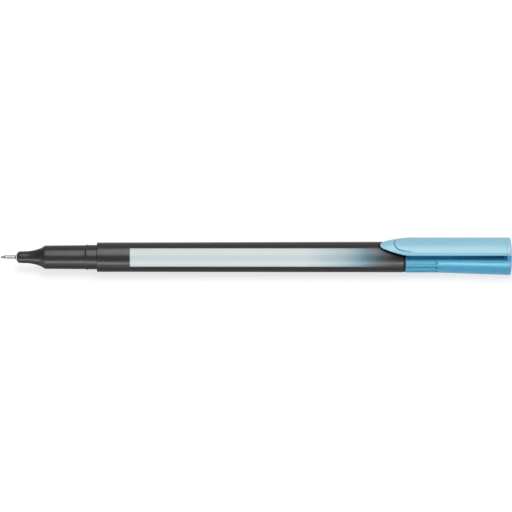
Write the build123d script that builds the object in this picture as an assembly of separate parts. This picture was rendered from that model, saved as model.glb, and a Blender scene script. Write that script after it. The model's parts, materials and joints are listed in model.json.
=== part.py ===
from build123d import *
import os
from math import cos, radians, sin, sqrt, tan

# A slim fibre-point pen with its cap posted on the tail, in millimetres and degrees.
# Every piece is drawn round the pen's axis, which runs along X from the nib's point,
# with the clip on the +Z side. The finished pen is then set down on the ground.

# Nib
nib_point_diameter = 0.46
nib_tip_round = 0.10
nib_stand_out = 0.75
nib_cone_inset = 0.20
nib_cone_length = 0.30
nib_shank_diameter = 0.74
nib_tail_length = 2.00

# Steel pipe round the nib
pipe_diameter = 1.07
pipe_mouth_wall = 0.06
pipe_mouth_length = 0.45
pipe_stand_out = 3.61
pipe_buried_length = 5.10

# Holder that grips the pipe and the nib in the nose
holder_ring_diameter = 1.85
holder_stand_out = 0.24
holder_ring_length = 3.10
holder_body_diameter = 2.40
holder_body_length = 5.50

# Front section: nose, flare, grip, snap bead, land, and the spigot inside the barrel
nose_face_wall = 0.08
nose_shoulder_length = 0.52
nose_shoulder_diameter = 3.28
nose_shoulder_round = 0.30
nose_length = 2.78
nose_rear_diameter = 3.50
flare_length = 4.70
flare_cone_length = 0.95
flare_cone_rise = 0.62
flare_sag_share = 0.33
grip_length = 11.50
grip_taper = 0.09
grip_relief = 0.07
bead_length = 0.95
bead_height = 0.08
land_length = 2.40
spigot_length = 12.00

# Ink wick and reservoir
wick_diameter = 2.00
wick_gap = 0.50
wick_inset = 4.00
wrap_wall = 0.10

# Barrel and the plug in its tail
barrel_length = 87.35
barrel_straight_length = 9.35
barrel_front_diameter = 8.41
barrel_taper = 0.17
barrel_wall = 0.675
barrel_edge_round = 0.22
plug_inset = 6.00
plug_wall = 1.20
collar_relief = 0.08
tail_end_round = 0.70
tail_end_wall = 1.20
tail_room = 5.80

# Cap tube, with flutes at the mouth, a flared rear and a channel under the clip
cap_wall = 0.83
cap_straight_length = 9.90
cap_flare_rise = 0.66
cap_mouth_round = 0.18
cap_mouth_lead = 0.30
cap_snap_depth = 0.06
flutes_per_turn = 16
flute_width = 1.10
flute_depth = 0.25
flute_rear_inset = 0.80
mouth_rim_length = 0.30
channel_half_angle = 56.3
channel_wall = 0.35

# Inner cap that seals on the nose when the pen is capped
inner_cap_lead = 0.20
inner_cap_lip_wall = 0.93
inner_cap_funnel_length = 0.90
seal_length = 0.80
seal_chamber_relief = 0.32
nib_end_room = 0.65
inner_cap_end_wall = 1.20
inner_cap_neck_length = 2.40

# Crown that closes the cap
crown_thickness = 1.40
crown_flat_diameter = 5.00
crown_drop = 0.40
crown_spigot_wall = 0.55

# Clip
clip_gap = 0.12
clip_thickness = 1.03
clip_half_angle = 42.0
clip_overhang = 7.30
clip_edge_round = 0.70
clip_undercut = 45.0
clip_nose_length = 13.10
clip_nose_half_width = 5.60
clip_tip_radius = 2.50
clip_tip_thickness = 0.14
clip_bevel_length = 11.40
clip_bevel_height = 1.50
clip_bevel_end_angle = 35.3
clip_root_gap = 0.05

# Raised pad on the clip's nose, with a fine groove round it
pad_inset = 4.10
pad_nose_length = 9.50
pad_half_width = 3.15
pad_tip_radius = 2.35
pad_step = 0.10
pad_groove_width = 0.20
pad_groove_depth = 0.15

# Tongue on the clip's root
tongue_width = 2.40
tongue_thickness = 0.36
tongue_depth = 0.42
tongue_height_share = 0.427
tongue_clearance = 0.10

# Fits: radial room of pushed-in pieces, of the wrapped reservoir and of the cap, then the gaps
# from the barrel and from the tail's collar to the cap's mouth
push_clearance = 0.03
wrap_clearance = 0.08
cap_clearance = 0.08
mouth_gap = 0.50
collar_gap = 0.10

# How far cutters and trimming shapes run past what they cut
overrun = 1.00
full_turn = 360.0

# Places along the axis, from the nib's point back to the crown
pipe_front = nib_stand_out
holder_front = pipe_front + pipe_stand_out
nose_front = holder_front + holder_stand_out
holder_shoulder = holder_front + holder_ring_length
holder_rear = holder_shoulder + holder_body_length
pipe_rear = holder_front + pipe_buried_length
nib_tail = holder_rear + wick_gap + nib_tail_length
nose_shoulder = nose_front + nose_shoulder_length
flare_front = nose_shoulder + nose_length
grip_front = flare_front + flare_length
bead_front = grip_front + grip_length
bead_rear = bead_front + bead_length
barrel_front = bead_rear + land_length
spigot_rear = barrel_front + spigot_length
barrel_rear = barrel_front + barrel_length
plug_front = barrel_rear - plug_inset
cap_mouth = barrel_rear + mouth_gap

# Places inside the cap follow the nose that it covers when it is turned round and put on the front
capped_nib_point = cap_mouth + barrel_front - mouth_gap
inner_cap_front = capped_nib_point - flare_front + inner_cap_lead
tail_end = inner_cap_front - tail_room
chamber_end = capped_nib_point + nib_end_room
crown_front = chamber_end + inner_cap_end_wall
posted_length = crown_front + crown_thickness

# Radii, each worked out from the piece that it fits, from the barrel inwards and outwards
barrel_front_radius = barrel_front_diameter / 2
barrel_rear_radius = barrel_front_radius + barrel_taper
barrel_bore = barrel_front_radius - barrel_wall
land_radius = barrel_bore - push_clearance
bead_radius = land_radius + bead_height
grip_rear_radius = land_radius - grip_relief
grip_front_radius = grip_rear_radius - grip_taper
cap_bore = bead_radius + cap_clearance
cap_front_radius = cap_bore + cap_wall
cap_rear_radius = cap_front_radius + cap_flare_rise
inner_cap_radius = cap_bore - push_clearance
clip_inner = max(cap_front_radius, barrel_rear_radius) + clip_gap
clip_outer = clip_inner + clip_thickness
clip_tip = cap_mouth - clip_overhang
pad_tip = clip_tip + pad_inset
clip_root = crown_front - clip_root_gap


def rounded(face, corners):
    """Round the corners of a flat face, each given as a point and a radius."""
    for point, radius in corners:
        face = fillet(face.vertices().sort_by_distance((*point, 0))[0], radius)
    return face


def turned(stretches, corners=()):
    """Turn a closed outline of lines and arcs, in places along the axis and radii, round the axis."""
    edges = [edge for stretch in stretches for edge in stretch.edges()]
    return revolve(rounded(make_face(edges), corners), Axis.X)


def turned_points(*points, corners=()):
    """Turn a closed outline with straight sides round the axis."""
    return turned([Polyline(*points, close=True)], corners)


def bead_arc(front, front_radius, rear_radius):
    """The rounded snap bead that a cap clicks over, from its front edge back."""
    return ThreePointArc(
        (front, front_radius),
        (front + bead_length / 2, bead_radius),
        (front + bead_length, rear_radius),
    )


def polar(radius, angle):
    """A point across the pen, at an angle from the clip's middle."""
    return (radius * sin(radians(angle)), radius * cos(radians(angle)))


def sector(inner, outer, half_angle):
    """A part of a ring across the pen, centred on the clip."""
    outside = ThreePointArc(polar(outer, -half_angle), polar(outer, 0), polar(outer, half_angle))
    inside = ThreePointArc(polar(inner, half_angle), polar(inner, 0), polar(inner, -half_angle))
    sides = [Line(outside @ 1, inside @ 0), Line(inside @ 1, outside @ 0)]
    return make_face([outside.edge(), inside.edge(), *(side.edge() for side in sides)])


def along(front, rear, section):
    """Carry a flat section across the pen from one place on the axis to another."""
    return extrude(Plane.YZ.offset(front) * section, rear - front)


def clip_section():
    """The clip's section: part of a ring with its two outer edges rounded over."""
    corners = [(polar(clip_outer, side * clip_half_angle), clip_edge_round) for side in (-1, 1)]
    return rounded(sector(clip_inner, clip_outer, clip_half_angle), corners)


def make_nib():
    point = nib_point_diameter / 2
    shank = nib_shank_diameter / 2
    cone_front = pipe_front + nib_cone_inset
    return turned_points(
        (0, 0),
        (0, point),
        (cone_front, point),
        (cone_front + nib_cone_length, shank),
        (nib_tail, shank),
        (nib_tail, 0),
        corners=[((0, point), nib_tip_round)],
    )


def make_nib_pipe():
    point_hole = nib_point_diameter / 2 + push_clearance
    shank_hole = nib_shank_diameter / 2 + push_clearance
    cone_front = pipe_front + nib_cone_inset
    return turned_points(
        (pipe_front, point_hole),
        (pipe_front, point_hole + pipe_mouth_wall),
        (pipe_front + pipe_mouth_length, pipe_diameter / 2),
        (pipe_rear, pipe_diameter / 2),
        (pipe_rear, shank_hole),
        (cone_front + nib_cone_length, shank_hole),
        (cone_front, point_hole),
    )


def make_nib_holder():
    pipe_hole = pipe_diameter / 2 + push_clearance
    shank_hole = nib_shank_diameter / 2 + push_clearance
    return turned_points(
        (holder_front, pipe_hole),
        (holder_front, holder_ring_diameter / 2),
        (holder_shoulder, holder_ring_diameter / 2),
        (holder_shoulder, holder_body_diameter / 2),
        (holder_rear, holder_body_diameter / 2),
        (holder_rear, shank_hole),
        (pipe_rear, shank_hole),
        (pipe_rear, pipe_hole),
    )


def make_section():
    ring_hole = holder_ring_diameter / 2 + push_clearance
    body_hole = holder_body_diameter / 2 + push_clearance
    nose_face = ring_hole + nose_face_wall
    nose_rear = nose_rear_diameter / 2
    cone_front = grip_front - flare_cone_length
    cone_radius = grip_front_radius - flare_cone_rise
    flare_middle = (flare_front + cone_front) / 2
    flare_waist = nose_rear + (cone_radius - nose_rear) * flare_sag_share
    shoulder = (nose_shoulder, nose_shoulder_diameter / 2)
    return turned(
        [
            Polyline((nose_front, ring_hole), (nose_front, nose_face), shoulder, (flare_front, nose_rear)),
            ThreePointArc(
                (flare_front, nose_rear), (flare_middle, flare_waist), (cone_front, cone_radius)
            ),
            Polyline(
                (cone_front, cone_radius),
                (grip_front, grip_front_radius),
                (bead_front, grip_rear_radius),
            ),
            bead_arc(bead_front, grip_rear_radius, land_radius),
            Polyline(
                (bead_rear, land_radius),
                (spigot_rear, land_radius),
                (spigot_rear, body_hole),
                (holder_shoulder, body_hole),
                (holder_shoulder, ring_hole),
                (nose_front, ring_hole),
            ),
        ],
        corners=[(shoulder, nose_shoulder_round)],
    )


def make_relay_wick():
    shank_hole = nib_shank_diameter / 2 + push_clearance
    front = holder_rear + wick_gap
    rear = spigot_rear + wick_inset
    return turned_points(
        (front, shank_hole),
        (front, wick_diameter / 2),
        (rear, wick_diameter / 2),
        (rear, 0),
        (nib_tail, 0),
        (nib_tail, shank_hole),
    )


def make_reservoir_core():
    outside = barrel_bore - wrap_clearance - wrap_wall - push_clearance
    wick_hole = wick_diameter / 2 + push_clearance
    wick_end = spigot_rear + wick_inset
    return turned_points(
        (spigot_rear, wick_hole),
        (spigot_rear, outside),
        (plug_front, outside),
        (plug_front, 0),
        (wick_end, 0),
        (wick_end, wick_hole),
    )


def make_reservoir_wrap():
    outside = barrel_bore - wrap_clearance
    return turned_points(
        (spigot_rear, outside - wrap_wall),
        (spigot_rear, outside),
        (plug_front, outside),
        (plug_front, outside - wrap_wall),
    )


def make_barrel():
    front_corner = (barrel_front, barrel_front_radius)
    rear_corner = (barrel_rear, barrel_rear_radius)
    return turned_points(
        (barrel_front, barrel_bore),
        front_corner,
        (barrel_front + barrel_straight_length, barrel_front_radius),
        rear_corner,
        (barrel_rear, barrel_bore),
        corners=[(front_corner, barrel_edge_round), (rear_corner, barrel_edge_round)],
    )


def make_tail_plug():
    bead_start = barrel_rear + land_length
    collar_rear = cap_mouth - collar_gap
    collar_radius = barrel_rear_radius - collar_relief
    hollow = land_radius - plug_wall
    end_corner = (tail_end, land_radius)
    return turned(
        [
            Polyline(
                (plug_front, land_radius),
                (barrel_rear, land_radius),
                (barrel_rear, collar_radius),
                (collar_rear, collar_radius),
                (collar_rear, land_radius),
                (bead_start, land_radius),
            ),
            bead_arc(bead_start, land_radius, land_radius),
            Polyline(
                (bead_start + bead_length, land_radius),
                end_corner,
                (tail_end, 0),
                (tail_end - tail_end_wall, 0),
                (tail_end - tail_end_wall, hollow),
                (plug_front, hollow),
                (plug_front, land_radius),
            ),
        ],
        corners=[(end_corner, tail_end_round)],
    )


def make_cap_tube():
    flare_start = cap_mouth + cap_straight_length
    snap_middle = cap_mouth - mouth_gap + land_length + bead_length / 2
    snap_half = bead_length / 2 + cap_clearance
    mouth_corner = (cap_mouth, cap_front_radius)
    tube = turned_points(
        (cap_mouth, cap_bore + cap_mouth_lead),
        mouth_corner,
        (crown_front, cap_front_radius),
        (crown_front, cap_bore),
        (cap_mouth + cap_mouth_lead, cap_bore),
        corners=[(mouth_corner, cap_mouth_round)],
    )
    snap = turned_points(
        (snap_middle - snap_half, 0),
        (snap_middle - snap_half, cap_bore),
        (snap_middle, cap_bore + cap_snap_depth),
        (snap_middle + snap_half, cap_bore),
        (snap_middle + snap_half, 0),
    )
    wall_middle = (cap_bore + cap_front_radius) / 2
    wedge = make_face(
        Polyline(
            (flare_start, cap_front_radius),
            (crown_front, cap_rear_radius),
            (crown_front, wall_middle),
            (flare_start, wall_middle),
            close=True,
        ).edges()
    )
    wedge_start = Rot(X=full_turn / 4 + channel_half_angle) * wedge
    flare = revolve(wedge_start, Axis.X, full_turn - 2 * channel_half_angle)
    floor = cap_bore + channel_wall
    channel = sector(floor, cap_rear_radius + overrun, channel_half_angle)
    cuts = [snap, along(cap_mouth + mouth_rim_length, crown_front + overrun, channel), *make_flutes()]
    return tube + flare - cuts


def make_flutes():
    """Cutters for the grip flutes, which run out at the cap's mouth, clear of the channel under the clip."""
    front = cap_mouth - flute_width
    rear = cap_mouth + cap_straight_length - flute_rear_inset
    floor = Plane(((front + rear) / 2, 0, cap_front_radius - flute_depth))
    cutter = extrude(floor * SlotOverall(rear - front, flute_width), flute_depth + overrun)
    pitch = full_turn / flutes_per_turn
    angles = [turn * pitch for turn in range(flutes_per_turn)]
    clear = [angle for angle in angles if channel_half_angle < angle < full_turn - channel_half_angle]
    return [Rot(X=angle) * cutter for angle in clear]


def make_inner_cap():
    neck = inner_cap_radius - crown_spigot_wall - push_clearance
    neck_front = crown_front - inner_cap_neck_length
    seal = nose_rear_diameter / 2 + push_clearance
    seal_front = inner_cap_front + inner_cap_funnel_length
    seal_rear = seal_front + seal_length
    chamber = seal + seal_chamber_relief
    return turned_points(
        (inner_cap_front, inner_cap_radius - inner_cap_lip_wall),
        (inner_cap_front, inner_cap_radius),
        (neck_front, inner_cap_radius),
        (neck_front, neck),
        (crown_front, neck),
        (crown_front, 0),
        (chamber_end, 0),
        (chamber_end, chamber),
        (seal_rear, chamber),
        (seal_rear, seal),
        (seal_front, seal),
    )


def make_cap_crown():
    flat = crown_flat_diameter / 2
    flat_edge = (posted_length, flat)
    reach = clip_outer + overrun
    drop_growth = ((reach - flat) / (clip_outer - flat)) ** 2
    dome_edge = (posted_length - crown_drop * drop_growth, reach)
    dome = turned(
        [
            Line((posted_length, 0), flat_edge),
            TangentArc(flat_edge, dome_edge, tangent=(0, 1)),
            Polyline(dome_edge, (crown_front, reach), (crown_front, 0), (posted_length, 0)),
        ]
    )
    end = posted_length + overrun
    disc = along(crown_front, end, Circle(cap_rear_radius))
    clip_seat = along(crown_front, end, clip_section())
    web = along(crown_front, end, sector(cap_bore, (clip_inner + clip_outer) / 2, clip_half_angle))
    spigot_front = crown_front - inner_cap_neck_length + push_clearance
    spigot = turned_points(
        (spigot_front, inner_cap_radius - crown_spigot_wall),
        (spigot_front, inner_cap_radius),
        (crown_front, inner_cap_radius),
        (crown_front, inner_cap_radius - crown_spigot_wall),
    )
    disc_and_seat = disc + clip_seat + web
    return (disc_and_seat & dome) + spigot - make_tongue(tongue_clearance)


def make_tongue(room=0):
    """The round-ended tongue on the clip's root that turns in the crown, or its pocket with room round it."""
    front = crown_front - overrun
    pivot = crown_front + tongue_depth - tongue_thickness / 2
    height = clip_inner + clip_thickness * tongue_height_share
    width = tongue_width + 2 * room
    thickness = tongue_thickness + 2 * room
    plate = Pos((front + pivot) / 2, 0, height) * Box(pivot - front, width, thickness)
    end = Pos(pivot, 0, height) * Rot(X=full_turn / 4) * Cylinder(thickness / 2, width)
    return plate + end


def make_clip():
    arm = along(clip_tip - overrun, clip_root, clip_section())
    lean = (clip_thickness - clip_tip_thickness) * tan(radians(clip_undercut))
    nose = make_leaf(clip_tip - lean, clip_nose_length, clip_nose_half_width, clip_tip_radius, clip_undercut)
    pad = make_leaf(pad_tip, pad_nose_length, pad_half_width, pad_tip_radius)
    groove_edge = make_leaf(
        pad_tip - pad_groove_width,
        pad_nose_length + pad_groove_width,
        pad_half_width + pad_groove_width,
        pad_tip_radius + pad_groove_width,
    )
    groove = groove_edge - make_clip_bevel(pad_step + pad_groove_depth)
    rim = (arm & nose & make_clip_bevel(pad_step)) - groove
    return rim + (arm & pad) + make_tongue()


def make_leaf(tip, nose_length, half_width, tip_radius, undercut=0):
    """A leaf-shaped nose seen from above: a small tip arc that runs into two long flank arcs.

    Its outline lies at the height of the clip's top, and its walls can lean in below that.
    """
    shoulder = tip + nose_length
    run = nose_length - tip_radius
    flank_radius = (run**2 + half_width**2 - tip_radius**2) / (2 * (half_width - tip_radius))
    reach = flank_radius / (flank_radius - tip_radius)
    joint = (shoulder - run * reach, (flank_radius - half_width) * (reach - 1))
    mirrored = (joint[0], -joint[1])
    rear = clip_root + clip_outer
    depth = clip_outer - clip_inner * cos(radians(clip_half_angle))
    stretches = [
        ThreePointArc(mirrored, (tip, 0), joint),
        TangentArc((shoulder, half_width), joint, tangent=(-1, 0)),
        Polyline((shoulder, half_width), (rear, half_width), (rear, -half_width), (shoulder, -half_width)),
        TangentArc((shoulder, -half_width), mirrored, tangent=(-1, 0)),
    ]
    face = Pos(0, 0, clip_outer) * make_face([edge for stretch in stretches for edge in stretch.edges()])
    return extrude(face, overrun) + extrude(face, depth, dir=(0, 0, -1), taper=undercut)


def make_clip_bevel(drop):
    """The sloped face round the pad, turned on a line above the pen's axis, at a drop below the pad's tip."""
    squares = clip_outer**2 + clip_bevel_height**2
    end_radius = sqrt(squares - 2 * clip_outer * clip_bevel_height * cos(radians(clip_bevel_end_angle)))
    start = (clip_tip, clip_inner + clip_tip_thickness - clip_bevel_height)
    pad_foot = (pad_tip, clip_outer - drop - clip_bevel_height)
    end = (clip_tip + clip_bevel_length, end_radius)
    rear = clip_root + overrun
    solid = turned(
        [
            ThreePointArc(start, pad_foot, end),
            Polyline(end, (rear, clip_outer), (rear, 0), (clip_tip, 0), start),
        ]
    )
    return Pos(0, 0, clip_bevel_height) * solid


makers = {
    "nib": make_nib,
    "nib_pipe": make_nib_pipe,
    "nib_holder": make_nib_holder,
    "section": make_section,
    "relay_wick": make_relay_wick,
    "reservoir_core": make_reservoir_core,
    "reservoir_wrap": make_reservoir_wrap,
    "barrel": make_barrel,
    "tail_plug": make_tail_plug,
    "cap_tube": make_cap_tube,
    "inner_cap": make_inner_cap,
    "cap_crown": make_cap_crown,
    "clip": make_clip,
}

# The pen lies on the widest part of its cap, with its middle over the origin
ground = Pos(-posted_length / 2, 0, cap_rear_radius)
os.makedirs("parts", exist_ok=True)
for node, make in makers.items():
    export_step(ground * make(), f"parts/{node}.step")
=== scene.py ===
# %% [markdown]
# # A fibre-point pen with its cap posted on the tail
# A slim writing pen lies on a white table: a black front section and barrel, a pale printed panel,
# and a light blue cap pushed on the back. Its sizes come from a CAD part that is loaded here as a
# fixed frame. The lesson makes smooth skins over the frame's round pieces, mixes a finish for each
# material, and then sets up a small photo studio.

import json
from math import cos, degrees, pi, radians, sin, tan

import bmesh
import bpy
from mathutils import Matrix, Vector

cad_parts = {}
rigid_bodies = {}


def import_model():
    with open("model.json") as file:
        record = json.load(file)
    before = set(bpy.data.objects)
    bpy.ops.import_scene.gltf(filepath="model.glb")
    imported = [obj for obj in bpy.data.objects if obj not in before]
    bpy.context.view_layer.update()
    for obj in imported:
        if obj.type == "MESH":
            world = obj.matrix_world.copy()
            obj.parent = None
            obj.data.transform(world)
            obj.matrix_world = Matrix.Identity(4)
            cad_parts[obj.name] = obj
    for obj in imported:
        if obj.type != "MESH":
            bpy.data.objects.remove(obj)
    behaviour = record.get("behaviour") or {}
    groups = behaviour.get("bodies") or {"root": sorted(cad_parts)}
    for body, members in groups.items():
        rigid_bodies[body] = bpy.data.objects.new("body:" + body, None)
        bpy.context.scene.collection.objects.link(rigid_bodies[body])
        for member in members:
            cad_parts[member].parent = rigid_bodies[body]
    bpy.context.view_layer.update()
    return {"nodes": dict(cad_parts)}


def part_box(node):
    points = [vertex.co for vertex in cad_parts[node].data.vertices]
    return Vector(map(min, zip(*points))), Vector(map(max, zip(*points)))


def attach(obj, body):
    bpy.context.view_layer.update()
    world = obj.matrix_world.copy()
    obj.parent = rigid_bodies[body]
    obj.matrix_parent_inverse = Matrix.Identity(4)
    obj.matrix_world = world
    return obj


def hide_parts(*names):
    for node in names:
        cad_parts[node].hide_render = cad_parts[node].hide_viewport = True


for leftover in list(bpy.data.objects):
    bpy.data.objects.remove(leftover)
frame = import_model()
mm = 0.001

# %% [markdown]
# ## The pen's axis
# The pen lies along X, nib on the left. Everything turned on a lathe shares one axis, so its height
# is worth knowing exactly. CAD starts each turned surface at a seam beside the axis, and the barrel's
# outermost point on that side lies on its seam, at axis height.

# %% Find the axis
widest = max(frame["nodes"]["barrel"].data.vertices, key=lambda vertex: vertex.co.y)
axis_height = widest.co.z
nib_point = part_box("nib")[0].x
print("axis height in mm:", round(axis_height / mm, 3), "nib point at", round(nib_point / mm, 2))

# %% [markdown]
# ## Reading a turned piece's outline
# A CAD mesh is a handful of triangles, which is fine for measuring and rather coarse for a picture.
# The section, barrel and plugs are all turned, so each one is known once its outline is known.
# Their outlines could be typed in again as numbers. It is safer to read them from the frame: the mesh
# edges that lie on the seam are the outline itself, and it follows any later change of the part.

# %% Outline helper
hair = 0.001 * mm


def outline_of(node):
    """Runs of (place along the axis, radius), read from the seam of a turned CAD node."""
    mesh = bmesh.new()
    mesh.from_mesh(frame["nodes"][node].data)
    bmesh.ops.remove_doubles(mesh, verts=mesh.verts, dist=hair)
    seam = {v for v in mesh.verts if abs(v.co.z - axis_height) < hair and v.co.y > hair}
    near = {v: [e.other_vert(v) for e in v.link_edges if e.other_vert(v) in seam] for v in seam}
    runs = []
    while near:
        start = min(near, key=lambda v: (len(near[v]), v.co.x, v.co.y))
        run = []
        while start is not None:
            run.append((start.co.x, start.co.y))
            onward = [v for v in near.pop(start) if v in near]
            start = onward[0] if onward else None
        runs.append(run)
    mesh.free()
    return runs


print("section outline points:", sum(map(len, outline_of("section"))))

# %% [markdown]
# ## Breaking the sharp corners
# No moulded or turned edge is perfectly sharp, and the thin line of light along a small round is what
# makes a piece look real. A bevel modifier could add it to a finished mesh. Here the corners of the
# outline are softened before it is turned, which costs a few points and never goes wrong.

# %% Corner helper
sharp_turn = radians(20)
round_steps = 4
edge_share = 0.4


def softened(points, radius, closed):
    """Replace each sharp corner of an outline by a small curve."""
    corners = [Vector(point) for point in points]
    smooth = []
    for index, corner in enumerate(corners):
        before = corners[index - 1] - corner
        after = corners[(index + 1) % len(corners)] - corner
        at_end = not closed and index in (0, len(corners) - 1)
        turn = 0.0 if at_end else pi - before.angle(after)
        if turn < sharp_turn:
            smooth.append(corner)
            continue
        reach = min(radius * tan(turn / 2), edge_share * before.length, edge_share * after.length)
        start = corner + before.normalized() * reach
        end = corner + after.normalized() * reach
        for step in range(round_steps + 1):
            share = step / round_steps
            smooth.append(start.lerp(corner, share).lerp(corner.lerp(end, share), share))
    return smooth


print("a square corner becomes", len(softened([(0, 0), (1, 0), (1, 1)], 0.1, False)) - 2, "points")

# %% [markdown]
# ## A skin over rows of points
# The shells in this lesson are rows of points joined by four-sided faces, one ring after another.
# One helper joins the rows. A row of a single point closes an end, and a skin whose last row meets
# its first makes a tube with a bore.

# %% Skin helper
smooth_angle = radians(38)


def skin(name, rows, tube=False):
    """A mesh piece from rows of points, each row a closed loop or a single point."""
    mesh = bmesh.new()
    loops = [[mesh.verts.new(point) for point in row] for row in rows]
    for front, back in zip(loops, loops[1:] + loops[:1] if tube else loops[1:]):
        count = max(len(front), len(back))
        for i in range(count):
            j = (i + 1) % count
            ring = [front[i % len(front)], front[j % len(front)], back[j % len(back)], back[i % len(back)]]
            mesh.faces.new(dict.fromkeys(ring))
    bmesh.ops.recalc_face_normals(mesh, faces=mesh.faces)
    data = bpy.data.meshes.new(name)
    mesh.to_mesh(data)
    mesh.free()
    data.shade_smooth()
    data.set_sharp_from_angle(angle=smooth_angle)
    piece = bpy.data.objects.new(name, data)
    bpy.context.scene.collection.objects.link(piece)
    piece.modifiers.new("even_shading", "WEIGHTED_NORMAL").keep_sharp = True
    return piece


print("skins are smooth over bends of up to", round(degrees(smooth_angle)), "degrees")

# %% [markdown]
# ## Turning the lathe pieces
# On the real pen the nib, its steel pipe, the section, the barrel and the plugs are all round.
# Each outline is softened and carried round the axis. A piece that reaches the axis gets an end
# point at each end, and a piece with a bore is joined into a tube.

# %% Turn every round piece
turned_rounds = {
    "nib": 0.03,
    "nib_pipe": 0.02,
    "nib_holder": 0.05,
    "section": 0.07,
    "relay_wick": 0.08,
    "reservoir_core": 0.10,
    "reservoir_wrap": 0.02,
    "barrel": 0.05,
    "tail_plug": 0.06,
    "inner_cap": 0.06,
}
ends_on_axis = ("nib", "relay_wick", "reservoir_core", "tail_plug", "inner_cap")
sides = 128


def around(x, radius):
    """One ring of points about the pen's axis."""
    if radius < hair:
        return [(x, 0.0, axis_height)]
    turns = [2 * pi * step / sides for step in range(sides)]
    return [(x, radius * cos(turn), axis_height + radius * sin(turn)) for turn in turns]


def turn_piece(node, corner_round):
    """Carry a node's softened outline round the axis."""
    runs = outline_of(node)
    points = [point for run in runs for point in run]
    solid = node in ends_on_axis
    if solid:
        points = [(points[0][0], 0.0), *points, (points[-1][0], 0.0)]
    smooth = softened(points, corner_round * mm, closed=not solid)
    return skin(f"{node}_skin", [around(x, radius) for x, radius in smooth], tube=not solid)


pieces = {}
for node, corner_round in turned_rounds.items():
    pieces[node] = turn_piece(node, corner_round)
    print(node, "faces:", len(pieces[node].data.polygons))

# %% [markdown]
# ## Calculating with shader nodes
# A finish is a small sum: a slow stain plus a fine grain, times a mask. Blender writes each plus sign
# as a Math node. This class wraps a node's output so that Python's own operators add those nodes,
# and a finish then reads like the sum that it is.

# %% Values that vary over a surface


class Field:
    """A node's output that Python can calculate with: each operator adds a Math node."""

    def __init__(self, finish, socket):
        self.finish = finish
        self.socket = socket

    def math(self, operation, first, second=0.0):
        return self.finish.node("ShaderNodeMath", {"operation": operation}, {0: first, 1: second})

    def __add__(self, other):
        return self.math("ADD", self, other)

    def __radd__(self, other):
        return self.math("ADD", other, self)

    def __sub__(self, other):
        return self.math("SUBTRACT", self, other)

    def __rsub__(self, other):
        return self.math("SUBTRACT", other, self)

    def __mul__(self, other):
        return self.math("MULTIPLY", self, other)

    def __rmul__(self, other):
        return self.math("MULTIPLY", other, self)

    def __truediv__(self, other):
        return self.math("DIVIDE", self, other)

    def __rtruediv__(self, other):
        return self.math("DIVIDE", other, self)

    def __abs__(self):
        return self.math("ABSOLUTE", self)

    def most(self, other):
        """The larger of two values."""
        return self.math("MAXIMUM", self, other)

    def above(self, edge, soft):
        """A mask that rises from 0 to 1 across an edge of the given softness."""
        limits = {"Value": self, "From Min": edge - soft, "From Max": edge + soft}
        return self.finish.node("ShaderNodeMapRange", {"interpolation_type": "SMOOTHSTEP"}, limits)


print("made the class", Field.__name__)

# %% [markdown]
# ## A finish under way
# Every material here is a Principled shader with a few fields feeding it. The class below holds one
# material while it is mixed. Its one method `node` adds any node: the type, then the settings, then
# what goes into the sockets. Places are in millimetres from the nib's point, which keeps the scale of
# every grain and scratch easy to judge. Angles are in degrees about the axis, from the clip's middle.

# %% The finish class
samples = 8
up = (0.0, 0.0, 1.0)


def paint(code):
    """A colour as it looks on screen, six hexadecimal digits, turned into Blender's linear values."""
    screen = [int(code[i : i + 2], 16) / 255 for i in (0, 2, 4)]
    return (*(v / 12.92 if v < 0.04045 else ((v + 0.055) / 1.055) ** 2.4 for v in screen), 1.0)


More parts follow.
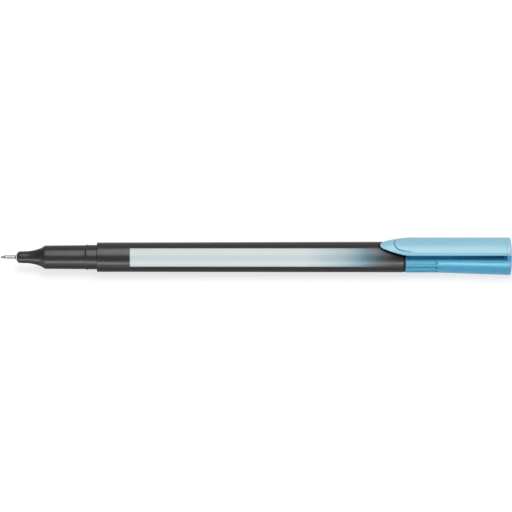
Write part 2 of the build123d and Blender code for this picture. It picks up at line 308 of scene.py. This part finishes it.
class Finish:
    """One material: a Principled shader and the nodes that feed it."""

    def __init__(self, name, constants):
        self.material = bpy.data.materials.new(name)
        self.material.use_nodes = True
        self.tree = self.material.node_tree
        self.shader = self.tree.nodes["Principled BSDF"]
        self.feed(self.shader, constants)
        self.place = self.node("ShaderNodeTexCoord", output="Object")
        parts = [self.node("ShaderNodeSeparateXYZ", {}, {0: self.place}, axis) for axis in "XYZ"]
        self.along = (parts[0] - nib_point) / mm
        self.beside = parts[1] / mm
        self.above_axis = (parts[2] - axis_height) / mm
        self.angle = self.beside.math("ARCTAN2", self.beside, self.above_axis) * degrees(1)
        across = self.node("ShaderNodeCombineXYZ", {}, {"Y": self.beside, "Z": self.above_axis})
        self.outward = self.node("ShaderNodeVectorMath", {"operation": "NORMALIZE"}, {0: across})
        self.radius = self.dot(self.outward, across)

    def node(self, kind, settings=None, sockets=None, output=0):
        """Add any node: its type, its settings, what its sockets hold, and the output to use."""
        made = self.tree.nodes.new(kind)
        for name, value in (settings or {}).items():
            if name == "stops":
                elements = made.color_ramp.elements
                while len(elements) < len(value):
                    elements.new(1.0)
                for element, (position, colour) in zip(elements, value):
                    element.position = position
                    element.color = colour
            else:
                setattr(made, name, value)
        self.feed(made, sockets or {})
        return Field(self, made.outputs[output])

    def feed(self, node, sockets):
        for name, value in sockets.items():
            if isinstance(value, Field):
                self.tree.links.new(value.socket, node.inputs[name])
            else:
                node.inputs[name].default_value = value

    def mix(self, share, first, second):
        """Two colours blended by a field."""
        return self.node("ShaderNodeMix", {"data_type": "RGBA"}, {0: share, 6: first, 7: second}, 2)

    def noise(self, size, detail=2.0, stretch=1.0):
        """Cloudy noise with spots of a size in millimetres, drawn out along the pen by a stretch."""
        scale = (1 / stretch, 1.0, 1.0)
        where = self.node("ShaderNodeVectorMath", {"operation": "MULTIPLY"}, {0: self.place, 1: scale})
        sockets = {"Vector": where, "Scale": 1 / (size * mm), "Detail": detail}
        return self.node("ShaderNodeTexNoise", {}, sockets)

    def dot(self, first, second):
        """How far two directions agree: 1 where they are the same, 0 where they are square."""
        return self.node("ShaderNodeVectorMath", {"operation": "DOT_PRODUCT"}, {0: first, 1: second}, "Value")

    def eased(self, radius, flush=None):
        """Directions of the surface with its edges eased to a radius, but not where pieces meet flush."""
        self.true = self.node("ShaderNodeNewGeometry", output="Normal")
        rounded = self.node("ShaderNodeBevel", {"samples": samples}, {"Radius": radius * mm})
        self.normal = rounded if flush is None else self.mix(flush, rounded, self.true)
        return self

    def facing_down_shade(self):
        """A mask of painted shade on what faces down."""
        level, soft = -0.03, 0.12
        return 1 - self.dot(self.normal, up).above(level, soft)

    def shade_mask(self, reach, edge, soft):
        """A mask of painted shade: the places that other surfaces within a reach close in."""
        sky = self.node("ShaderNodeAmbientOcclusion", {"samples": samples}, {"Distance": reach * mm}, "AO")
        return (1 - sky).above(edge, soft)

    def coat(self, colour, roughness, height, depth, scuff, shade_colour, shade_mask):
        """Feed the shader with a colour, a roughness and a height field with a depth in millimetres.

        Edges are worn to the scuff colour. Where the mask of painted shade is, the surface loses its gloss
        and takes the dark shade colour.
        """
        bend, patch_size = 0.05, 0.5
        worn = (1 - self.dot(self.normal, self.true)).above(bend, bend)
        worn = worn * self.noise(patch_size, detail=3.0).above(0.5, 0.15)
        used = self.mix(0.25 * worn, colour, scuff)
        self.feed(self.shader, {"Base Color": used, "Roughness": roughness + 0.10 * worn})
        bump = {"Height": height, "Distance": depth * mm, "Normal": self.normal}
        self.feed(self.shader, {"Normal": self.node("ShaderNodeBump", {}, bump, "Normal")})
        # The painted shade: a dark diffuse that the shade mask mixes in.
        shade_dimming = self.node("ShaderNodeBsdfDiffuse", {}, {"Color": shade_colour})
        gloss = Field(self, self.shader.outputs["BSDF"])
        both = self.node("ShaderNodeMixShader", {}, {0: shade_mask, 1: gloss, 2: shade_dimming})
        self.feed(self.tree.nodes["Material Output"], {"Surface": both})


print("paint 808080 is", [round(v, 3) for v in paint("808080")])

# %% [markdown]
# ## Satin black plastic
# The section and the barrel are moulded in black plastic with a satin gloss. Black is never even:
# slow flow marks follow the length, handling leaves duller smudges, and fine hairlines catch light.
# One function gives the colour, the roughness and the height, so that the barrel can print over them.
# What faces down gets a painted shade: half of it goes to a dark diffuse and loses its gloss. Crevices get a
# painted shade as well. The plug in the tail, where the cap rubs, is matt all over, and its painted shade
# reaches far, so the gap at the cap's mouth is painted dark.

# %% Black plastic
black_edge = 0.10
black_gloss = {"Specular IOR Level": 0.38}
black_use = {"depth": 0.004, "scuff": paint("56565a"), "shade_colour": paint("060608")}
shade_below = 0.5
rubbed = 0.25


def black_plastic(finish):
    """Colour, roughness and height of the black moulding."""
    flow = finish.noise(9.0, stretch=4.0)
    smudge = finish.noise(2.6, detail=4.0)
    grain = finish.noise(0.12, detail=1.0)
    hairline = finish.noise(0.10, detail=1.0, stretch=60.0).above(0.70, 0.04)
    base = finish.mix(flow, paint("19191b"), paint("242425"))
    colour = finish.mix(0.35 * hairline, base, paint("56565a"))
    roughness = 0.25 + 0.10 * smudge + 0.06 * grain + 0.12 * hairline
    return colour, roughness, 0.6 * grain + 0.5 * flow - 0.4 * hairline


def shade_in_folds_and_below(finish, shade_mask):
    """A mask of a moulding's painted shade: in its crevices and on what faces down."""
    return shade_mask.most(shade_below * finish.facing_down_shade())


black = Finish("satin_black_plastic", black_gloss).eased(black_edge)
# Painted shade in crevices of short reach and on what faces down.
shade_dimming = shade_in_folds_and_below(black, black.shade_mask(reach=0.4, edge=0.60, soft=0.25))
black.coat(*black_plastic(black), shade_mask=shade_dimming, **black_use)

matt = Finish("matt_black_plastic", {"Specular IOR Level": 0.15}).eased(black_edge)
colour, roughness, height = black_plastic(matt)
# Painted shade of long reach: the gap between the plug and the cap's mouth is painted dark.
shade_dimming = matt.shade_mask(reach=2.2, edge=0.14, soft=0.10)
matt.coat(colour, roughness + rubbed, height, shade_mask=shade_dimming, **black_use)
print("black plastic nodes:", len(black.tree.nodes), "and", len(matt.tree.nodes))

# %% [markdown]
# ## The printed barrel
# A pale panel is printed on the black barrel, on the side that faces the reader, and it fades through
# blue into the black before the cap. It could be a separate sheet, but real ink has no thickness to
# speak of, so it is a mask on the barrel's own finish: a stretch of the length times an even width,
# measured along the barrel's curve. It sits a trace askew, as print does. The panel is left bare.

# %% Printed panel
panel_front, fade_front, fade_rear = 36.92, 86.8, 112.3
panel_middle = radians(-46.9)
panel_half_width = 2.78
panel_slant = radians(0.0125)
end_blur, side_blur = 0.03, 0.04

printed = Finish("printed_black_plastic", black_gloss).eased(black_edge)
black_colour, black_roughness, black_height = black_plastic(printed)
slant = panel_slant * (printed.along - panel_front)
off_middle = abs(printed.angle * radians(1) - panel_middle + slant) * printed.radius
panel = printed.along.above(panel_front, end_blur) * (1 - off_middle.above(panel_half_width, side_blur))
speckle = printed.noise(0.10, detail=1.0)
fade = (printed.along - fade_front) / (fade_rear - fade_front) + 0.05 * (speckle - 0.5)
ink = printed.node(
    "ShaderNodeValToRGB",
    {
        "stops": [
            (0.0, paint("b3bec3")),
            (0.40, paint("90a5ad")),
            (0.55, paint("7491a0")),
            (0.70, paint("4d6673")),
            (0.85, paint("30383f")),
            (0.97, paint("212123")),
        ]
    },
    {"Fac": fade},
)
cover = panel * (1 - fade.above(0.97, 0.06))
mottle = printed.noise(1.2, detail=3.0)
inked = printed.mix(0.06 * mottle, ink, paint("8fa2aa"))
colour = printed.mix(cover, black_colour, inked)
roughness = black_roughness + cover * (0.03 + 0.05 * speckle)
height = black_height + 0.8 * cover
# Painted shadow of long reach: the barrel under the clip's nose and beside the cap's mouth is painted dark,
# as is what faces down.
shade_dimming = shade_in_folds_and_below(printed, printed.shade_mask(reach=2.2, edge=0.14, soft=0.10))
printed.coat(colour, roughness, height, shade_mask=shade_dimming, **black_use)
print("panel from", panel_front, "to", fade_rear, "mm behind the nib")

# %% [markdown]
# ## Light blue plastics
# The cap's tube is a clear blue plastic with a good gloss, and the clip is a little cloudier. The clip's
# paler blue is painted light, for the light that falls on it from above, and the crown, which closes both,
# carries the same painted light on its top: pale behind the clip, blue behind the tube. Walls and edges that
# face neither outward nor to the rear get a painted shade, a deeper blue. Below the clip the light falls on
# what faces up, and the colour stays clear there too.

# %% Edges and colours of the cap
rearward = (1.0, 0.0, 0.0)
wall_shade_from, wall_shade_blur = 0.24, 0.22


def wall_shade_mask(finish, below_clip):
    """A mask of painted shade on what faces neither outward nor to the rear, nor upward below the clip."""
    facing = finish.dot(finish.normal, finish.outward).most(finish.dot(finish.normal, rearward))
    facing = facing.most(finish.dot(finish.normal, up) * below_clip)
    return (1 - facing).above(wall_shade_from, wall_shade_blur)


def tube_colour(finish, flow, painted_shade, lit):
    """A clear blue, darker by one mask of painted shade and lighter by one of painted light."""
    clear = finish.mix(flow, paint("0a7aa6"), paint("1281ad"))
    # 0c5d84 is the painted shade, 4fa5c6 the painted light on the flutes' lower lips.
    return finish.mix(lit, finish.mix(painted_shade, clear, paint("0c5d84")), paint("4fa5c6"))


def clip_colour(finish, flow, painted_shade, clip_bottom_shade):
    """The clip's blue, painted paler for the light from above, and darker by painted shade on walls and along
    the lower edge.
    """
    # The paler blue stands for the light from above on the tube's plastic.
    pale = finish.mix(flow, paint("7ab1c8"), paint("85bad0"))
    # 5798b6 is the painted shade on walls, 4a9fbe the painted shade along the clip's lower edge.
    return finish.mix(clip_bottom_shade, finish.mix(painted_shade, pale, paint("5798b6")), paint("4a9fbe"))


print("helpers for the cap:", wall_shade_mask.__name__, tube_colour.__name__, clip_colour.__name__)

# %% [markdown]
# ## Shade in the flutes
# The mouth of the cap is fluted for the fingers. Each flute has a shadow under its upper lip, a line
# of light along its lower lip and a dark closed end. Ambient occlusion would darken both lips alike,
# so these are masks by place: by the angle within one pitch of the flutes, and by the radius, which
# is smaller in a flute.

# %% Flute masks
flute_rear, flute_end_shadow = 124.3, 0.5
flute_pitch = 22.5
flute_floor = 4.37
cap_side = 90.0
shadow_shrink, light_shift = 0.012, 0.007


def flute_masks(finish, below_clip):
    """Masks of the flutes' floors, the shadow under a lip, the closed ends and the lit lips."""
    turn = abs(finish.angle)
    phase = turn.math("FRACT", turn / flute_pitch + 0.5) - 0.5
    past_side = turn - cap_side
    fluted = below_clip * (1 - finish.along.above(flute_rear, 0.1))
    sunken = fluted * (1 - finish.radius.above(flute_floor, 0.06))
    lip_shadow = sunken * (1 - (phase + shadow_shrink * abs(past_side)).above(0.14, 0.10))
    end_shadow = sunken * finish.along.above(flute_rear - flute_end_shadow, 0.15)
    lip_light = (phase + light_shift * past_side).above(0.17, 0.06) * (1 - phase.above(0.36, 0.03))
    return sunken, lip_shadow, end_shadow, fluted * lip_light


print("flutes every", flute_pitch, "degrees, up to", flute_rear, "mm behind the nib")

# %% [markdown]
# ## Mixing the blue plastics
# One recipe serves tube, crown and clip. They differ in gloss and in the angle within which their colour is
# painted paler for the light from above. The slit under the clip and the clip's lower edge are painted in
# shade: they take a dark diffuse and lose gloss. Painted shade in crevices is left to the pale parts, and
# where tube, clip and crown meet flush the joint gets no eased edge.

# %% Blue plastics
clip_reach = 42.0
clip_foot = 4.6
all_round = 180.0
joint_front, joint_rear = 143.2, 144.8
channel_edge = 57.5
slit_edge, slit_blur = 54.0, 9.0
lowest_tilt, highest_tilt, tilt_blur = 0.42, 0.62, 0.08
light_inside = {"Subsurface Weight": 0.06, "Subsurface Radius": (0.2, 0.5, 0.7), "Subsurface Scale": 0.3 * mm}
blue_use = {"depth": 0.003, "scuff": paint("b5dce9"), "shade_colour": paint("005284")}


def blue_plastic(name, constants, lit_within, gloss, edge):
    """A blue moulding, painted paler for the light from above within an angle of the clip's middle, with a
    roughness to start from.
    """
    finish = Finish(name, {**constants, **light_inside})
    flush = finish.along.above(joint_front, 0.2) * (1 - finish.along.above(joint_rear, 0.1))
    finish.eased(edge, flush)
    turn = abs(finish.angle)
    below_clip = turn.above(channel_edge, 1.0)
    # Painted shade in the slit under the clip.
    under_clip = (1 - turn.above(slit_edge, slit_blur)) * (1 - finish.along.above(joint_front, 0.1))
    # Where the colour is painted paler for the light from above: the clip, and the crown near the clip's
    # middle.
    on_clip = finish.radius.above(clip_foot, 0.02) * (1 - turn.above(lit_within, 0.5))
    upward = finish.dot(finish.normal, up)
    # Painted shade along the clip's lower edge, where its face turns down.
    clip_bottom_shade = on_clip * (1 - upward.above(highest_tilt, tilt_blur)) * upward.above(lowest_tilt, tilt_blur)
    # Painted shade on walls and edges.
    wall_shade = wall_shade_mask(finish, below_clip)
    sunken, lip_shadow, end_shadow, lip_light = flute_masks(finish, below_clip)

    flow = finish.noise(7.0, detail=3.0, stretch=3.0)
    cloud = finish.noise(1.6, detail=3.0)
    grain = finish.noise(0.10, detail=1.0)
    hairline = finish.noise(0.09, detail=1.0, stretch=40.0).above(0.71, 0.04)
    # The tube's blue takes painted shade and painted light in the flutes. The clip's takes painted shade on
    # walls and along its lower edge.
    clear = tube_colour(finish, flow, wall_shade.most(0.7 * lip_shadow), 0.9 * lip_light)
    pale = clip_colour(finish, flow, wall_shade, 0.3 * clip_bottom_shade)
    colour = finish.mix(0.2 * hairline, finish.mix(on_clip, clear, pale), blue_use["scuff"])
    roughness = gloss + 0.08 * cloud + 0.05 * grain + 0.15 * sunken
    # Painted shade in crevices, in the slit, along the clip's lower edge, in the flutes and at their closed
    # ends.
    shade_mask = finish.shade_mask(reach=1.2, edge=0.42, soft=0.24) * on_clip * (1 - flush)
    shaded = 0.72 * under_clip * (1 - on_clip) + 0.45 * clip_bottom_shade
    shaded = shaded + 0.25 * lip_shadow + 0.45 * end_shadow
    finish.coat(colour, roughness, 0.6 * grain + 0.6 * flow, shade_mask=shade_mask.most(shaded), **blue_use)
    return finish


glassy = {"Specular IOR Level": 1.0, "Specular Tint": (0.66, 0.96, 0.80, 1.0)}
cloudy = {"Specular IOR Level": 0.8}
nowhere, everywhere = -all_round, 2 * all_round
blue = blue_plastic("clear_blue_plastic", glassy, nowhere, gloss=0.28, edge=0.06)
# The clip's colour is painted paler for the light from above all over, the crown's only near the clip's
# middle.
painted_light_blue = blue_plastic("pale_blue_plastic", cloudy, everywhere, gloss=0.37, edge=0.25)
crown_blue = blue_plastic("crown_blue_plastic", cloudy, clip_reach, gloss=0.34, edge=0.30)
print("blue plastic nodes:", len(blue.tree.nodes))

# %% [markdown]
# ## Steel, fibre, pale plastic, felt and film
# The nib's pipe is drawn steel with fine lines along it and a dark ring at its root. The edge of each finish
# is eased as on the plastics, and its crevices get a painted shade. The nib itself is a bundle of fibres
# soaked with ink. The bush in the nose and the inner cap are pale plastic, the reservoir is inky felt in a
# clear film.

# %% Small finishes
dark_ring_front = 4.0


def small_finish(name, constants, edge):
    """A finish with eased edges, and its mask of painted shade in crevices."""
    finish = Finish(name, constants).eased(edge)
    return finish, finish.shade_mask(reach=1.2, edge=0.45, soft=0.25)


steel, shade_mask = small_finish("drawn_steel", {"Metallic": 1.0}, 0.03)
drawn = steel.noise(0.05, stretch=50.0)
tarnish = steel.noise(0.8, detail=3.0)
# A dark ring at the pipe's root, a little rougher.
dark_ring = steel.along.above(dark_ring_front, 0.05)
bright = steel.mix(tarnish, paint("868b90"), paint("969ba0"))
colour = steel.mix(0.95 * dark_ring, bright, paint("1d1b19"))
use = {"depth": 0.002, "scuff": paint("a5a4a2"), "shade_colour": paint("2b2927")}
steel.coat(colour, 0.30 + 0.10 * drawn + 0.1 * dark_ring, drawn, shade_mask=shade_mask, **use)

fibre, shade_mask = small_finish("inked_fibre", {"Specular IOR Level": 0.3}, 0.04)
strand = fibre.noise(0.04, detail=3.0, stretch=20.0)
colour = fibre.mix(strand, paint("3a3e41"), paint("7c8487"))
use = {"depth": 0.012, "scuff": paint("8d9497"), "shade_colour": paint("1c2023")}
fibre.coat(colour, 0.55 + 0.2 * strand, strand, shade_mask=shade_mask, **use)

pale, shade_mask = small_finish("pale_plastic", {"Specular IOR Level": 0.45}, 0.06)
cloud = pale.noise(1.2, detail=3.0)
colour = pale.mix(cloud, paint("d8d9d6"), paint("e9eae7"))
use = {"depth": 0.003, "scuff": paint("f1f1ee"), "shade_colour": paint("8d8e8b")}
pale.coat(colour, 0.32 + 0.10 * cloud, pale.noise(0.12), shade_mask=shade_mask, **use)

felt, shade_mask = small_finish("inky_felt", {"Specular IOR Level": 0.2}, 0.10)
fluff = felt.noise(0.08, detail=4.0, stretch=12.0)
colour = felt.mix(fluff, paint("1d2a38"), paint("3c5064"))
use = {"depth": 0.05, "scuff": paint("4d6276"), "shade_colour": paint("121a23")}
felt.coat(colour, 0.8 + 0.1 * fluff, fluff, shade_mask=shade_mask, **use)

film, shade_mask = small_finish("clear_film", {"Specular IOR Level": 0.5}, 0.02)
crinkle = film.noise(1.5, detail=3.0, stretch=3.0)
colour = film.mix(crinkle, paint("c4cdd2"), paint("dfe5e8"))
use = {"depth": 0.03, "scuff": paint("eef2f4"), "shade_colour": paint("8d979c")}
film.coat(colour, 0.12 + 0.1 * crinkle, crinkle, shade_mask=shade_mask, **use)
print("small finishes:", [finish.material.name for finish in (steel, fibre, pale, felt, film)])

# %% [markdown]
# ## Dressing the pieces
# Each skin stands for its CAD node, moves with that node's body, and takes its finish in place of the plain
# one; the slot names listed beside the finishes are not used. The cap's tube, its crown and the clip have no
# skin: their CAD meshes are fine enough to take a finish themselves.

# %% Dress and attach
skin_finishes = {
    "nib": (fibre, "nib_fibre"),
    "nib_pipe": (steel, "steel"),
    "nib_holder": (pale, "pale_plastic"),
    "section": (black, "black_plastic"),
    "relay_wick": (felt, "ink_felt"),
    "reservoir_core": (felt, "ink_felt"),
    "reservoir_wrap": (film, "clear_film"),
    "barrel": (printed, "black_plastic_printed"),
    "tail_plug": (matt, "black_plastic"),
    "inner_cap": (pale, "pale_plastic"),
}
cap_finishes = {"cap_tube": blue, "cap_crown": crown_blue, "clip": painted_light_blue}
bodies = {"inner_cap": "cap"}


def dress(piece, finish):
    """Give a piece its finish in place of the plain one."""
    piece.data.materials.clear()
    piece.data.materials.append(finish.material)


for node, (finish, slot) in skin_finishes.items():
    piece = pieces[node]
    dress(piece, finish)
    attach(piece, bodies.get(node, "pen"))
    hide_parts(node)
for node, finish in cap_finishes.items():
    dress(frame["nodes"][node], finish)
print("skins dressed:", len(skin_finishes), "CAD pieces dressed:", len(cap_finishes))

# %% [markdown]
# ## Table and light
# The pen lies on a white table under a long soft box. A slim light bar on the table in front gives the
# lower line of light. A gleam beside it shows in reflections alone: it brightens that line and leaves
# the matt surfaces as they are. A white card behind gives the upper edge a soft line. Lamps light the
# pen without showing in the picture, and a dim even sky fills the shadows.

# %% Table
table_size = 40.0
bpy.ops.mesh.primitive_plane_add(size=table_size, location=(0.0, 0.0, 0.0))
table = bpy.context.object
table.name = "white_table"
tabletop = Finish("white_tabletop", {"Roughness": 0.9, "Specular IOR Level": 0.1, "Emission Strength": 1.0})
sights = ("Camera", "Glossy", "Transmission")
rays = [tabletop.node("ShaderNodeLightPath", output=f"Is {sight} Ray") for sight in sights]
seen = (rays[0] + rays[1] + rays[2]).above(0.5, 0.1)
shade = tabletop.mix(seen, paint("e6e6e6"), paint("959595"))
glow = tabletop.mix(seen, paint("000000"), paint("dfdfdf"))
tabletop.feed(tabletop.shader, {"Base Color": shade, "Emission Color": glow})
table.data.materials.append(tabletop.material)
print("table of", table_size, "m")

# %% Lights


def soft_box(name, place, size, radiance, colour, gleam=False):
    """A rectangular lamp that faces the pen, even over its face. A gleam shows in reflections alone."""
    lamp = bpy.data.lights.new(name, "AREA")
    lamp.shape = "RECTANGLE"
    lamp.size, lamp.size_y = size
    lamp.energy = radiance * pi * size[0] * size[1]
    lamp.color = colour
    box = bpy.data.objects.new(name, lamp)
    box.location = place
    toward = Vector((0.0, 0.0, axis_height)) - Vector(place)
    box.rotation_euler = toward.to_track_quat("-Z", "Y").to_euler()
    box.visible_camera = False
    box.visible_diffuse = not gleam
    bpy.context.scene.collection.objects.link(box)


white, cool_white, warm_white = (1.0, 1.0, 1.0), (0.98, 0.99, 1.0), (1.0, 0.95, 0.89)
sky_strength = 0.30
soft_box("overhead_soft_box", (0.0, -0.035, 0.50), size=(0.24, 0.47), radiance=7.0, colour=warm_white)
soft_box("front_light_bar", (0.0, -0.045, 0.003), size=(0.22, 0.006), radiance=6.5, colour=cool_white)
soft_box("front_gleam", (0.0, -0.045, 0.004), (0.22, 0.008), radiance=7.0, colour=cool_white, gleam=True)
soft_box("rear_card", (0.0, 0.60, 0.35), size=(0.80, 0.40), radiance=0.5, colour=white)
world = bpy.data.worlds.new("dim_sky")
world.use_nodes = True
world.node_tree.nodes["Background"].inputs["Color"].default_value = (*white, 1.0)
world.node_tree.nodes["Background"].inputs["Strength"].default_value = sky_strength
bpy.context.scene.world = world
bpy.context.scene.view_settings.view_transform = "Standard"
print("lights:", [lamp.name for lamp in bpy.data.lights])

# %% [markdown]
# ## Camera
# The picture was taken square to the pen's axis from half way up, with a long lens, and the pen fills
# the frame from edge to edge.

# %% Camera
view_width = 145.9 * mm
view_height_offset = 0.295 * mm
elevation = radians(45)
roll = radians(-0.035)
lens = bpy.data.cameras.new("long_lens")
lens.lens = 290.0
lens.clip_end = 20.0
camera = bpy.data.objects.new("camera", lens)
distance = view_width * lens.lens / lens.sensor_width
aim = Vector((0.0, sin(elevation) * view_height_offset, axis_height + cos(elevation) * view_height_offset))
camera.location = aim + distance * Vector((0.0, -cos(elevation), sin(elevation)))
upright = Matrix.Rotation(pi / 2 - elevation, 3, "X")
camera.rotation_euler = (upright @ Matrix.Rotation(roll, 3, "Z")).to_euler()
bpy.context.scene.collection.objects.link(camera)
bpy.context.scene.camera = camera
print("camera distance in m:", round(distance, 3))
